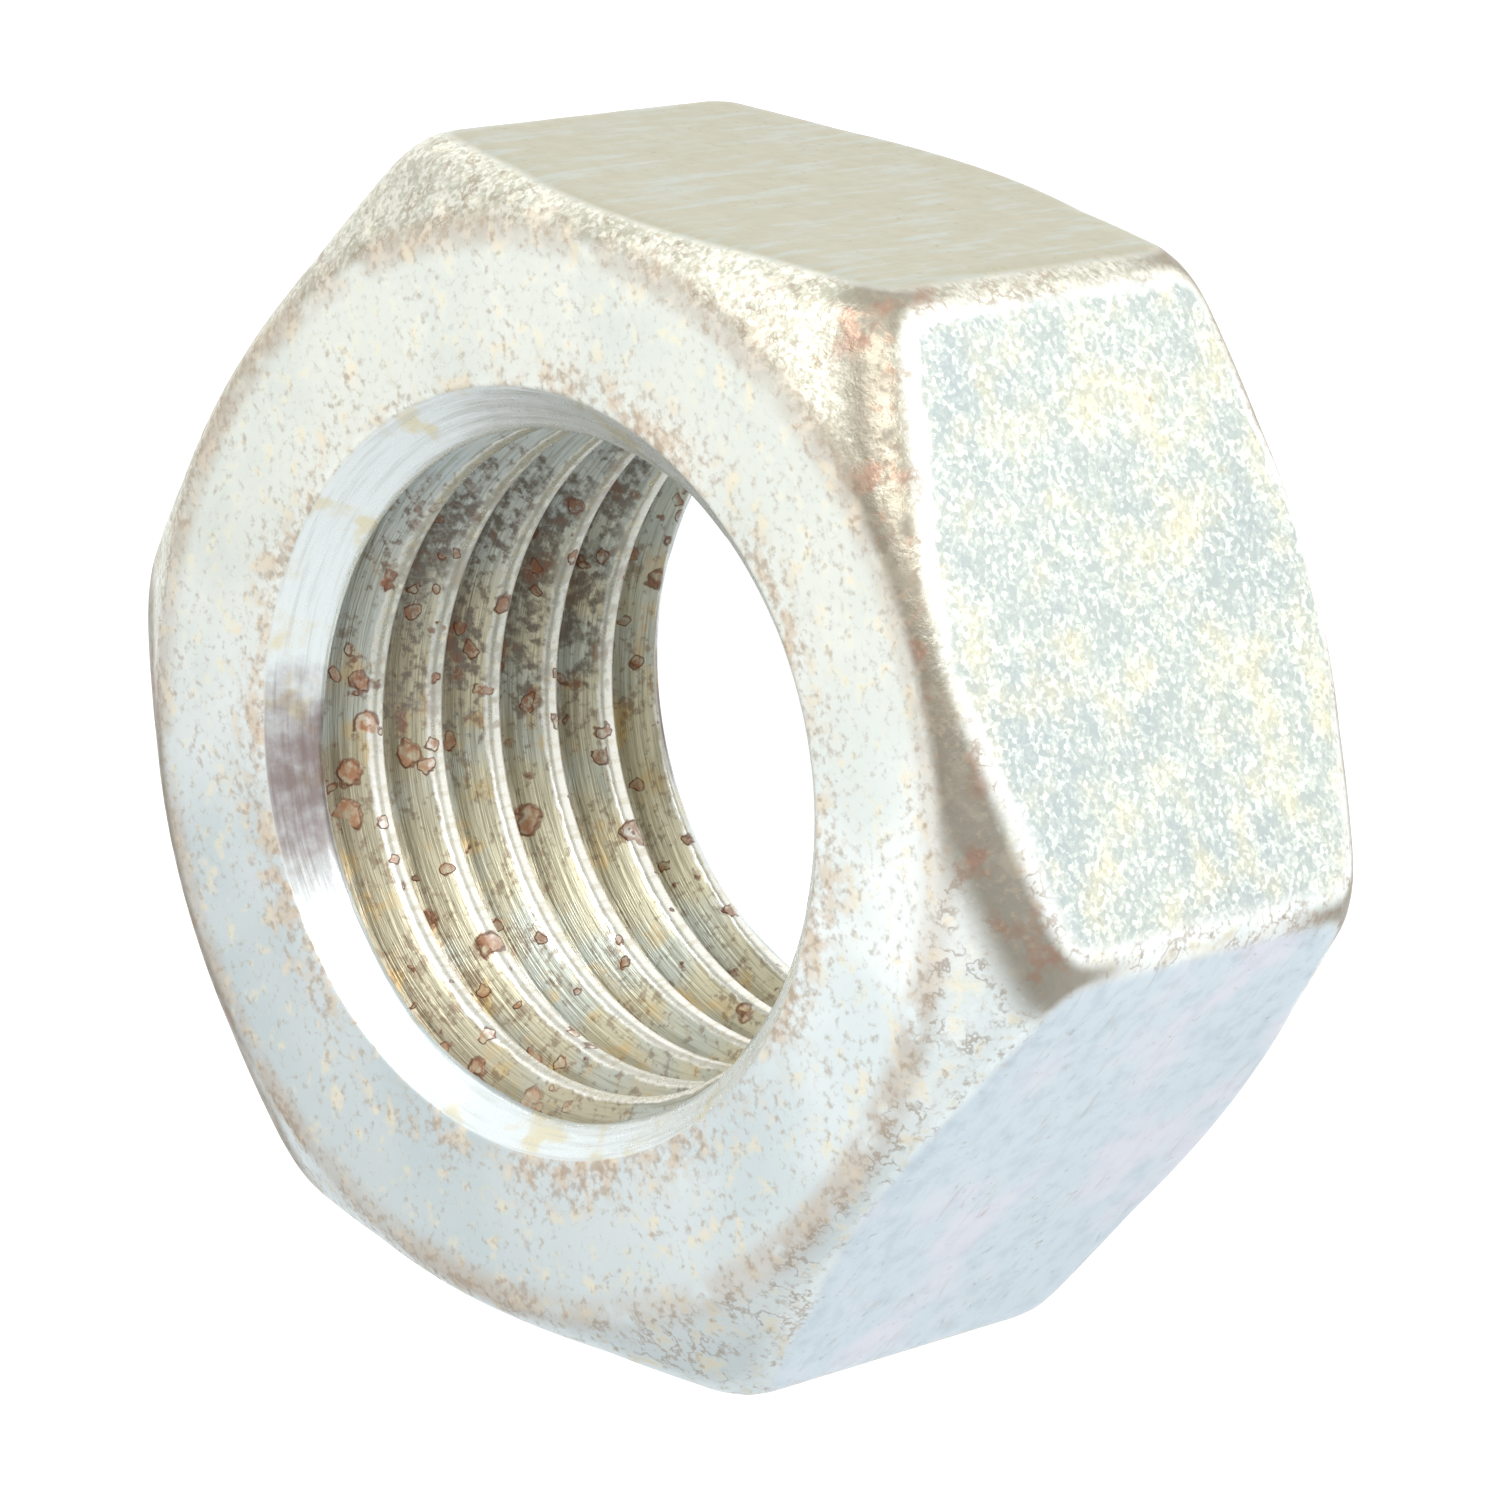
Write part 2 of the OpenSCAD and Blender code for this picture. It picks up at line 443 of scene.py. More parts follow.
# %% Bearing faces, chamfers, countersinks and thread
outside = add(coat, MATH, [1.0, wall], operation="SUBTRACT")
near_end = add(coat, RANGE, [end_gap, 0.7, 0.1], **SMOOTH)
in_ring = add(coat, RANGE, [radius, RING_EDGE + 0.3, RING_EDGE - 0.5], **SMOOTH)
face = add(coat, MATH, [add(coat, MATH, [near_end, in_ring], operation="MULTIPLY"), outside],
           operation="MULTIPLY")
not_face = add(coat, MATH, [outside, face], operation="SUBTRACT")
chamfer = add(coat, MATH, [not_face, add(coat, MATH, [1.0, flats], operation="SUBTRACT")],
              operation="MULTIPLY")
past_cone = add(coat, MATH, [add(coat, MATH, [radius, end_gap], operation="ADD"), MOUTH_EDGE],
                operation="SUBTRACT")
countersink = add(coat, MATH, [add(coat, RANGE, [past_cone, 0.35, 0.1], **SMOOTH), wall],
                  operation="MULTIPLY")
threaded = add(coat, MATH, [wall, countersink], operation="SUBTRACT")

# %% [markdown]
# ### Noise fields
# All the wear grows from a few noise fields, named for their size on the nut. The finest
# real grains are about a tenth of a millimetre, too small to show at this distance, so
# `grain` is drawn at a quarter of a millimetre and `speck` at half a millimetre.

# %% Noise fields
WAVES_PER_MM = {"cloud": (0.10, 2.0), "patch": (0.32, 3.0), "blot": (0.85, 3.0), "speck": (2.1, 3.0),
                "grain": (4.0, 2.0), "second cloud": (0.14, 2.0), "second patch": (0.45, 3.0)}
field = {}
for number, (name, (waves, detail)) in enumerate(WAVES_PER_MM.items()):
    moved = add(coat, "ShaderNodeVectorMath", [place, (17.0 * number, 5.0 * number, 29.0)], operation="ADD")
    field[name] = add(coat, "ShaderNodeTexNoise", {
        "Vector": moved, "Scale": waves, "Detail": detail, "Roughness": 0.6}).outputs[0]
print("widths in mm:", {name: round(1 / waves, 2) for name, (waves, detail) in WAVES_PER_MM.items()})

# %% [markdown]
# ### Crests and flanks
# The crest of a tapped thread is the wall of the drilled hole, rubbed bright by the bolt; the near-white
# colour it gets below is partly a painted highlight.
# The flanks are what the tap cut. Plating wears off unevenly, so the line between them
# is ragged: a noise shifts the depth at which the crest gives way to the flank.

# %% Crests with ragged edges, and the flanks between them
ragged = add(coat, MATH, [field["blot"], 0.22, groove_depth], operation="MULTIPLY_ADD")
crest = add(coat, MATH, [add(coat, RANGE, [ragged, 0.24, 0.15], **SMOOTH), threaded], operation="MULTIPLY")
flank = add(coat, MATH, [threaded, crest], operation="SUBTRACT")

# %% [markdown]
# ### Sides of the bore
# Four kinds of wear sit on one side of the bore each. A share is 1 on the line of the
# wall that faces its angle and falls off round the bore, like daylight round a column.

# %% Four directions
BORE_SIDES = {"cool": 8, "charcoal": 48, "stain": 79, "rust": 92}
side_share = {}
for name, angle in BORE_SIDES.items():
    way = (math.cos(math.radians(angle)), math.sin(math.radians(angle)), 0.0)
    along = add(coat, "ShaderNodeVectorMath", [place, way], operation="DOT_PRODUCT")
    side_share[name] = add(coat, MATH, [along, radius], operation="DIVIDE")

# %% [markdown]
# ### Which side has yellowed
# Parts drain after the dip, and the last of the liquid leaves a straw film on the side
# that hung lowest. Here that is the +X side: the mask grows softly across the nut and is
# broken up by the cloud noise. The -X side stays cool and white.

# %% Straw side
# On the smooth +X flats the dark beige also stands in for a darker surround that they mirror: a painted
# reflection.
STRAW_WAY = (1.0, -0.35, 0.0)
STRAW_DRIFT = 22.0
straw_reach = add(coat, "ShaderNodeVectorMath", [place, STRAW_WAY], operation="DOT_PRODUCT")
drift = add(coat, MATH, [field["cloud"], STRAW_DRIFT, straw_reach], operation="MULTIPLY_ADD")
straw_side = add(coat, RANGE, [drift, 2.0, 24.0], **SMOOTH)
cool_side = add(coat, MATH, [1.0, straw_side], operation="SUBTRACT")

# %% [markdown]
# ### Lines left by the tools
# The countersink was turned and the thread was cut with a tap. Both leave fine lines
# round the hole, a fifth of a millimetre apart. Stretching a noise does it: its first
# axis counts the depth into the groove or the gap to the face quickly, and the other two
# follow the nut slowly, so each line is long, thin and uneven.

# %% Tool lines
ALONG_PER_MM = 0.16
TURNED_PER_MM = 4.5
TAPPED_PER_GROOVE = 11.0
LINES = {"Scale": 1.0, "Detail": 3.0, "Roughness": 0.65}
slow_x = add(coat, MATH, [axis.outputs["X"], ALONG_PER_MM], operation="MULTIPLY")
slow_y = add(coat, MATH, [axis.outputs["Y"], ALONG_PER_MM], operation="MULTIPLY")
tap_step = add(coat, MATH, [groove_depth, TAPPED_PER_GROOVE], operation="MULTIPLY")
tap_place = add(coat, "ShaderNodeCombineXYZ", [tap_step, slow_x, slow_y])
tap_lines = add(coat, "ShaderNodeTexNoise", {"Vector": tap_place, **LINES}).outputs[0]
turn_step = add(coat, MATH, [end_gap, TURNED_PER_MM], operation="MULTIPLY")
turned_place = add(coat, "ShaderNodeCombineXYZ", [turn_step, slow_x, slow_y])
turned_lines = add(coat, "ShaderNodeTexNoise", {"Vector": turned_place, **LINES}).outputs[0]
print("turned lines, mm apart:", round(1 / TURNED_PER_MM, 2))
# Marks across the crest: quick round the nut, slow along its axis
crest_marks = add(coat, "ShaderNodeTexNoise", {
    "Vector": add(coat, "ShaderNodeVectorMath", [place, (2.6, 2.6, 0.5)], operation="MULTIPLY"),
    "Scale": 1.0, "Detail": 2.0}).outputs[0]

# %% [markdown]
# ### Brown grime
# Grime is brown-grey dust held by the grain of the zinc. It gathers as specks over the
# faces, thickly along the mouth of the countersink and the rim of the bearing face, and
# as worm-like marks in the hollows of the chamfers. A band only moves the threshold of
# the speck noise, so the specks crowd together there and do not become a painted ring.

# %% Bands where grime gathers
rim_rise = add(coat, RANGE, [radius, RING_EDGE - 1.6, RING_EDGE - 0.4], **SMOOTH)
rim_fall = add(coat, RANGE, [radius, RING_EDGE + 1.1, RING_EDGE], **SMOOTH)
rim = add(coat, MATH, [add(coat, MATH, [rim_rise, rim_fall], operation="MULTIPLY"), outside],
          operation="MULTIPLY")
rim = add(coat, MATH, [rim, add(coat, RANGE, [end_gap, 1.1, 0.4], **SMOOTH)], operation="MULTIPLY")
mouth = add(coat, MATH, [add(coat, RANGE, [radius, MOUTH_EDGE + 3.35, MOUTH_EDGE], **SMOOTH), face],
            operation="MULTIPLY")
# Neither band is even: a slow noise thins both of them in places
held = add(coat, RANGE, [field["second cloud"], 0.40, 0.60, 0.25, 1.0], **SMOOTH)
mouth = add(coat, MATH, [mouth, held], operation="MULTIPLY")
rim = add(coat, MATH, [rim, add(coat, RANGE, [field["cloud"], 0.38, 0.56, 0.55, 1.0], **SMOOTH)],
          operation="MULTIPLY")

# %% [markdown]
# The steep chamfers below the front flats are painted darker in a grey-brown band: painted
# shade where the chamfer turns away from the light. The band fades away along the corners.
# Between band and flat runs a bright line: the edge is rubbed by every spanner and every
# bin, so its zinc is burnished, and the line also carries a painted highlight of the light
# on the rounded edge.

# %% Painted shade band and worn, highlighted edge of the front flats
by_front = add(coat, RANGE, [flat_reach[90], FLAT - 3.6, FLAT - 1.8], **SMOOTH)
band_end = add(coat, RANGE, [flat_reach[90], FLAT - 0.25, FLAT - 0.7], **SMOOTH)
low_down = add(coat, RANGE, [end_gap, 9.0, 4.5, 0.2, 1.0], **SMOOTH)
front_band_shade = add(coat, MATH, [by_front, band_end], operation="MULTIPLY")
front_band_shade = add(coat, MATH, [front_band_shade, low_down], operation="MULTIPLY")
front_band_shade = add(coat, MATH, [front_band_shade, chamfer], operation="MULTIPLY")
edge_rise = add(coat, RANGE, [flat_reach[90], FLAT - 0.6, FLAT - 0.2], **SMOOTH)
edge_ragged = add(coat, MATH, [field["blot"], 0.25, flat_reach[90]], operation="MULTIPLY_ADD")
edge_fall = add(coat, RANGE, [edge_ragged, FLAT + 0.07, FLAT - 0.01], **SMOOTH)
worn_edge_and_highlight = add(coat, MATH, [edge_rise, edge_fall], operation="MULTIPLY")
worn_edge_and_highlight = add(coat, MATH, [worn_edge_and_highlight, outside], operation="MULTIPLY")
wear_and_highlight_ends = add(coat, RANGE, [end_gap, 8.5, 5.0, 0.45, 1.0], **SMOOTH)
worn_edge_and_highlight = add(coat, MATH, [worn_edge_and_highlight, wear_and_highlight_ends], operation="MULTIPLY")
wear_and_highlight_side = add(coat, RANGE, [axis.outputs["X"], -14.0, 2.0, 0.25, 1.0], **SMOOTH)
worn_edge_and_highlight = add(coat, MATH, [worn_edge_and_highlight, wear_and_highlight_side], operation="MULTIPLY")

# %% Specks, film and worm marks
crowding = add(coat, MATH, [field["patch"], 0.30, add(coat, MATH, [mouth, 0.13], operation="MULTIPLY")],
               operation="MULTIPLY_ADD")
crowding = add(coat, MATH, [rim, 0.07, crowding], operation="MULTIPLY_ADD")
crowding = add(coat, MATH, [flats, -0.08, crowding], operation="MULTIPLY_ADD")
speck_height = add(coat, MATH, [field["speck"], crowding], operation="ADD")
specks = add(coat, RANGE, [speck_height, 0.68, 0.93], **SMOOTH)
film_height = add(coat, MATH, [field["blot"], add(coat, MATH, [crowding, 1.4], operation="MULTIPLY")],
                  operation="ADD")
film = add(coat, RANGE, [film_height, 0.72, 1.0], **SMOOTH)
thread_specks = add(coat, MATH, [field["patch"], 0.6, field["speck"]], operation="MULTIPLY_ADD")
ridge = add(coat, MATH, [add(coat, MATH, [field["blot"], 0.5], operation="SUBTRACT")], operation="ABSOLUTE")
worm = add(coat, RANGE, [ridge, 0.045, 0.010], **SMOOTH)
worm = add(coat, MATH, [worm, add(coat, RANGE, [field["second patch"], 0.46, 0.58], **SMOOTH)],
           operation="MULTIPLY")
worm = add(coat, MATH, [worm, chamfer], operation="MULTIPLY")

# %% [markdown]
# ### Painted shade on one side, and stain
# The -X, +Y side, turned away from the key lamp, is painted greyer: painted shade.
# On the countersink a drop of the dip dried and left a violet-brown stain. Its edge
# follows the turned lines, because liquid creeps along them.

# %% Painted shade and stain
SHADE_WAY = (-0.7, 0.7, 0.0)
SHADE_DRIFT = 20.0
shade_reach = add(coat, "ShaderNodeVectorMath", [place, SHADE_WAY], operation="DOT_PRODUCT")
painted_shade_side = add(coat, MATH, [field["cloud"], SHADE_DRIFT, shade_reach], operation="MULTIPLY_ADD")
stain_height = add(coat, MATH, [field["blot"], 0.10, side_share["stain"]], operation="MULTIPLY_ADD")
stain_height = add(coat, MATH, [turned_lines, 0.04, stain_height], operation="MULTIPLY_ADD")
stain = add(coat, RANGE, [stain_height, 0.99, 1.09], **SMOOTH)

# %% [markdown]
# ### Charcoal and rust in the thread
# One stretch of the thread has lost its zinc. The bare steel there is charcoal grey with
# small ring-shaped blisters, and past it single rust blisters sit on the flanks. A blister
# is a cell of a Voronoi pattern: a random number of the cell decides whether it is there
# and how wide it is, and a thin dark ring marks its edge. Noise pushes the pattern about
# first, so that no blister is a perfect circle.

# %% Stretch without zinc
lost_side = add(coat, RANGE, [side_share["charcoal"], 0.76, 0.98], **SMOOTH)
lost_side = add(coat, MATH, [lost_side, add(coat, RANGE, [end_gap, 2.5, 7.0], **SMOOTH)],
                operation="MULTIPLY")
lost_height = add(coat, MATH, [field["second patch"], 0.6], operation="MULTIPLY")
lost_height = add(coat, MATH, [lost_side, 0.34, lost_height], operation="MULTIPLY_ADD")
lost_height = add(coat, MATH, [field["speck"], 0.75, lost_height], operation="MULTIPLY_ADD")
charcoal = add(coat, MATH, [add(coat, RANGE, [lost_height, 0.90, 1.08], **SMOOTH), threaded],
               operation="MULTIPLY")
charcoal = add(coat, MATH, [charcoal, add(coat, RANGE, [groove_depth, 0.0, 0.4, 0.35, 1.0], **SMOOTH)],
               operation="MULTIPLY")

# %% Blisters
push_field = add(coat, "ShaderNodeTexNoise", {"Vector": place, "Scale": 1.3, "Detail": 2.0})
shove = add(coat, "ShaderNodeVectorMath", {"Vector": push_field.outputs["Color"], "Scale": 0.9},
            operation="SCALE")
blister_place = add(coat, "ShaderNodeVectorMath", [place, shove], operation="ADD")


def blisters(cells_per_mm, share, widest):
    """Return the filled blisters and their edge rings for one size of Voronoi cell."""
    cells = add(coat, "ShaderNodeTexVoronoi", {"Vector": blister_place, "Scale": cells_per_mm})
    chance = add(coat, "ShaderNodeSeparateColor", [cells.outputs["Color"]])
    there = add(coat, MATH, [chance.outputs["Red"], 1 - share], operation="GREATER_THAN")
    reach = add(coat, RANGE, [chance.outputs["Green"], 0.0, 1.0, widest * 0.45, widest])
    beyond = add(coat, MATH, [cells.outputs["Distance"], reach], operation="SUBTRACT")
    inside = add(coat, MATH, [add(coat, RANGE, [beyond, 0.02, -0.04], **SMOOTH), there],
                 operation="MULTIPLY")
    edge = add(coat, MATH, [add(coat, MATH, [beyond], operation="ABSOLUTE"), -1.0], operation="MULTIPLY")
    ring = add(coat, MATH, [add(coat, RANGE, [edge, -0.07, -0.02], **SMOOTH), there], operation="MULTIPLY")
    return inside, ring


rusted, rust_ring = blisters(0.50, 0.24, 0.40)
dotted, dot_ring = blisters(0.95, 0.20, 0.40)
bubble_ring = blisters(1.30, 0.75, 0.42)[1]
rust_side = add(coat, RANGE, [side_share["rust"], 0.25, 0.7], **SMOOTH)
rust_zone = add(coat, MATH, [threaded, rust_side], operation="MULTIPLY")
rust = add(coat, MATH, [add(coat, MATH, [rusted, dotted], operation="MAXIMUM"), rust_zone],
           operation="MULTIPLY")
rust_edge = add(coat, MATH, [add(coat, MATH, [rust_ring, dot_ring], operation="MAXIMUM"), rust_zone],
                operation="MULTIPLY")
bubble_edge = add(coat, MATH, [bubble_ring, charcoal], operation="MULTIPLY")

# %% [markdown]
# ### Grain of the flats
# Two opposite flats still have the coarse crystalline grain of the hot-formed bar under
# the zinc: it breaks the light into white and blue-grey grains. Noise alone would join
# them into worms, so each cell of a Voronoi pattern also gets a random height: that makes
# separate crystals. The other flats are smooth, with fine streaks along the nut from the
# forming die.

# %% Grain and streaks
CRYSTALS_PER_MM = 3.6
crystals = add(coat, "ShaderNodeTexVoronoi", {"Vector": place, "Scale": CRYSTALS_PER_MM})
crystal = add(coat, "ShaderNodeSeparateColor", [crystals.outputs["Color"]])
grain_height = add(coat, MATH, [field["patch"], 0.45], operation="MULTIPLY")
grain_height = add(coat, MATH, [field["grain"], 0.54, grain_height], operation="MULTIPLY_ADD")
grain_height = add(coat, MATH, [crystal.outputs["Red"], 0.28, grain_height], operation="MULTIPLY_ADD")
grain_dark = add(coat, RANGE, [grain_height, 0.80, 0.46], **SMOOTH)
streak_place = add(coat, "ShaderNodeVectorMath", [place, (1.0, 1.0, 0.14)], operation="MULTIPLY")
streaks = add(coat, "ShaderNodeTexNoise", {"Vector": streak_place, "Scale": 1.6, "Detail": 4.0}).outputs[0]
scratch_place = add(coat, "ShaderNodeVectorMath", [place, (0.35, 0.35, 2.2)], operation="MULTIPLY")
scratches = add(coat, "ShaderNodeTexNoise", {
    "Vector": scratch_place, "Scale": 1.1, "Detail": 4.0, "Distortion": 0.6}).outputs[0]
smooth_flats = add(coat, MATH, [flats, front_flats], operation="SUBTRACT")

# %% [markdown]
# ### Layers of colour
# The layers go on in the order in which they came to the nut: the plating and its film
# outside and in the bore, then grime, then rust. Each row names its colour, its full
# strength, the regions it is kept to, and the pattern that breaks it up: a value and the
# two limits between which it fades in. One loop lays them over each other, so a colour
# can be changed without touching a node.

# %% Layers
# Some layers paint light into the colour: shade, highlights and a reflection, each noted where it stands.
PLATING = "#F4F9F7"
LAYERS = [
    # the plating and its film
    ("cool cloud", "#DDEAEC", 0.6, [], (field["cloud"], 0.42, 0.62)),
    # painted shade: a grey layer darkens the -X, +Y side, away from the key lamp
    ("painted shade on the far side", "#AEBBBF", 0.7, [outside], (painted_shade_side, 0.0, 34.0)),
    ("straw side of the face", "#DCDECE", 0.5, [face, straw_side], None),
    ("straw blots", "#EFE2B4", 0.38, [], (field["blot"], 0.53, 0.70)),
    ("fine mottling", "#C9CFC9", 0.35, [outside], (field["speck"], 0.46, 0.74)),
    ("straw side of the chamfers", "#DAD9CA", 0.85, [chamfer, straw_side], None),
    ("granular chamfers", "#96947E", 0.65, [chamfer, straw_side, grain_dark], None),
    # painted reflection: the dark beige of the +X flats is partly straw film and partly a painted
    # reflection of a darker surround
    ("straw flats with painted dark reflection", "#A29E88", 0.97, [smooth_flats, straw_side], None),
    ("clouds on the straw flats", "#ABB3AD", 0.6, [smooth_flats, straw_side], (streaks, 0.46, 0.68)),
    ("cool flats", "#BFCDD6", 0.9, [smooth_flats, cool_side], None),
    ("mottled cool flats", "#B0C0CC", 0.45, [smooth_flats, cool_side], (field["blot"], 0.44, 0.66)),
    ("pink film", "#DED4E0", 0.4, [smooth_flats, cool_side], (field["second cloud"], 0.52, 0.68)),
    ("front flats", "#D6DDD2", 0.95, [front_flats], None),
    ("blue cloud on the front flats", "#B4C0C6", 0.35, [front_flats], (field["second cloud"], 0.44, 0.62)),
    ("dark grains of the front flats", "#98A5A9", 0.6, [front_flats, grain_dark], None),
    ("light grains of the front flats", "#FCFEF8", 0.7, [front_flats], (grain_height, 0.62, 0.88)),
    ("straw on the front flats", "#DECF9C", 0.5, [front_flats], (field["patch"], 0.42, 0.80)),
    # painted highlight: a burnished edge, also painted white as the light on its rounded edge
    ("worn edge of the front flats with painted highlight", "#FFFFFB", 0.9, [worn_edge_and_highlight], (field["cloud"], 0.30, 0.50)),
    # the bore
    ("countersink", "#EDF5F6", 0.95, [countersink], None),
    ("straw in the countersink", "#E4D6A2", 0.6, [countersink], (field["patch"], 0.52, 0.66)),
    ("turned lines", "#CBD0CC", 0.45, [countersink], (turned_lines, 0.48, 0.66)),
    ("violet stain", "#6C4A44", 0.8, [countersink, stain], None),
    ("flanks", "#D8D3B8", 0.97, [flank], None),
    # painted shade: the deep, shaded roots of the grooves are darkened, partly as grime
    ("painted shade and grime in the root", "#7A705F", 0.55, [flank], (groove_depth, 0.35, 1.0)),
    # painted shade: the flanks darken towards the top end of the bore, while its far end stays light
    ("painted shade towards the top of the bore", "#8A7D68", 0.35, [flank], (axis.outputs["Z"], 12.0, 25.0)),
    ("cool flanks", "#BECBCB", 0.6, [flank], (field["second cloud"], 0.50, 0.64)),
    ("ochre flanks", "#D8B46C", 0.5, [flank], (field["second patch"], 0.53, 0.68)),
    ("cool end of the thread", "#C6D2D4", 0.8, [flank], (side_share["cool"], 0.62, 0.96)),
    ("tap lines", "#8E8A74", 0.55, [flank], (tap_lines, 0.48, 0.66)),
    # painted highlight: the near-white crests are burnished zinc and also a painted highlight
    ("crests", "#FFFEF6", 1.0, [crest], None),
    # painted shade: the crests on the +X side are dulled where no highlight falls
    ("crests in painted shade", "#C2C6BE", 0.85, [crest], (side_share["cool"], 0.10, 0.80)),
    ("marks across the crests", "#DCD4B8", 0.45, [crest], (crest_marks, 0.50, 0.64)),
    ("specks in the thread", "#7A5F4A", 0.55, [flank], (thread_specks, 0.82, 0.98)),
    # grime
    ("tan film", "#CFC4B2", 0.45, [outside], (film, 0.0, 1.0)),
    ("rim", "#B9A996", 0.62, [rim], (field["patch"], 0.28, 0.48)),
    ("mouth", "#BDAA95", 0.6, [mouth], (field["blot"], 0.42, 0.60)),
    # painted shade: a grey-brown band on the steep chamfers below the front flats
    ("front band", "#827B6C", 0.9, [front_band_shade], (field["blot"], 0.05, 0.40)),
    ("red streak in the front band", "#96604A", 0.45, [front_band_shade], (field["second patch"], 0.54, 0.66)),
    ("worm marks", "#97836F", 0.55, [worm], None),
    ("specks", "#978571", 0.65, [outside, specks], None),
    ("scratches", "#A9A094", 0.3, [smooth_flats, cool_side], (scratches, 0.58, 0.72)),
    # rust
    ("charcoal", "#7D776F", 0.85, [charcoal], None),
    ("red streaks in the charcoal", "#9E6248", 0.5, [charcoal], (field["second patch"], 0.54, 0.66)),
    ("bubble rings", "#B8B0A0", 0.5, [bubble_edge], None),
    ("rust", "#A86E48", 0.7, [rust], (field["speck"], 0.30, 0.62)),
    ("rust edge", "#7A4A30", 0.7, [rust_edge], None),
]
colour = tint(PLATING)
for name, code, strength, regions, pattern in LAYERS:
    cover = strength
    if pattern:
        value, low, high = pattern
        cover = add(coat, RANGE, [value, low, high, 0.0, strength], **SMOOTH)
    for region in regions:
        cover = add(coat, MATH, [cover, region], operation="MULTIPLY", use_clamp=True)
    colour = add(coat, "ShaderNodeMix", [cover, colour, tint(code)], data_type="RGBA", label=name)
coat.links.new(next(s for s in colour.outputs if s.enabled), surface.inputs["Base Color"])
print("colour layers:", len(LAYERS))

# %% [markdown]
# ### Metal, gloss and relief
# Clean zinc is a metal and reflects. Grime, charcoal and rust are dull and do not, so they
# lower the metallic value and raise the roughness. The relief is shallow: grain on the
# front flats, pebbled chamfers, tool lines in the bore, blisters that stand up.

# %% Metallic and roughness
CLEAN = {"metallic": 0.60, "roughness": 0.40}
DIRTY = {"metallic": 0.05, "roughness": 0.75}
RUBBED = -0.12
ROUGHNESS_SPREAD = 0.25
dirt = add(coat, MATH, [add(coat, MATH, [specks, film], operation="MAXIMUM"), outside],
           operation="MULTIPLY")
dirt = add(coat, MATH, [dirt, charcoal], operation="MAXIMUM")
dirt = add(coat, MATH, [dirt, rust], operation="MAXIMUM")
metallic = add(coat, RANGE, [dirt, 0.0, 1.0, CLEAN["metallic"], DIRTY["metallic"]])
coat.links.new(metallic.outputs[0], surface.inputs["Metallic"])
gloss_loss = add(coat, RANGE, [dirt, 0.0, 1.0, CLEAN["roughness"], DIRTY["roughness"]])
rubbed = add(coat, MATH, [crest, countersink], operation="MAXIMUM")
rubbed = add(coat, MATH, [rubbed, RUBBED, gloss_loss], operation="MULTIPLY_ADD")
uneven = add(coat, MATH, [field["blot"], 0.5], operation="SUBTRACT")
roughness = add(coat, MATH, [uneven, ROUGHNESS_SPREAD, rubbed], operation="MULTIPLY_ADD", use_clamp=True)
coat.links.new(roughness.outputs[0], surface.inputs["Roughness"])

# %% Relief
RELIEF = [
    ("fine grain", field["grain"], 0.25, outside),
    ("grain of the front flats", field["grain"], 1.3, front_flats),
    ("pebbled chamfers", field["speck"], 1.1, chamfer),
    ("tap lines", tap_lines, 1.8, flank),
    ("turned lines", turned_lines, 0.8, countersink),
    ("marks across the crests", crest_marks, 0.7, crest),
    ("blisters", rust, 1.6, threaded),
]
FULL_RELIEF = 0.035 * MM
height = 0.0
for name, shape, amount, region in RELIEF:
    share = add(coat, MATH, [region, amount], operation="MULTIPLY")
    height = add(coat, MATH, [shape, share, height], operation="MULTIPLY_ADD", label=name)
bump = add(coat, "ShaderNodeBump", {"Strength": 1.0, "Distance": FULL_RELIEF, "Height": height})
coat.links.new(bump.outputs["Normal"], surface.inputs["Normal"])
print("nodes in the material:", len(coat.nodes))

# %% [markdown]
# ## From tree to plain mesh
# The tree runs on an empty object. Its inputs are set by their identifiers before the
# first evaluation, and the evaluated result is kept as a plain mesh with no modifier, so
# that it can ride on the CAD body and be exported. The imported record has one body, root.

# %% Build the nut
seed = bpy.data.meshes.new("nut seed")
shaper = bpy.data.objects.new("nut shaper", seed)
bpy.context.scene.collection.objects.link(shaper)
modifier = shaper.modifiers.new("nut", "NODES")
modifier.node_group = nut_tree
for name, value in {**SIZES, **COUNTS}.items():
    modifier[sockets[name].identifier] = value
modifier[finish_socket.identifier] = zinc
bpy.context.view_layer.update()
graph = bpy.context.evaluated_depsgraph_get()
nut_mesh = bpy.data.meshes.new_from_object(shaper.evaluated_get(graph))
bpy.data.objects.remove(shaper)
nut_mesh.name = "plated_nut"
# The joined grids bring an empty material slot with them: only the zinc is kept
nut_mesh.materials.clear()
nut_mesh.materials.append(zinc)
nut_mesh.polygons.foreach_set("material_index", [0] * len(nut_mesh.polygons))
nut = bpy.data.objects.new("plated_nut", nut_mesh)
bpy.context.scene.collection.objects.link(nut)
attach(nut, "root")
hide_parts("hex_nut")
nut_mesh.calc_loop_triangles()
print("nut triangles:", len(nut_mesh.loop_triangles), "materials:", len(nut_mesh.materials))

# %% [markdown]
# ## A light table
# The floor is matt white paper that also glows a little, as on a product photographer's
# light table. The glow keeps shadows faint and lets light into the bore from below, so
# the thread reads clearly. The plane is no part of the nut.

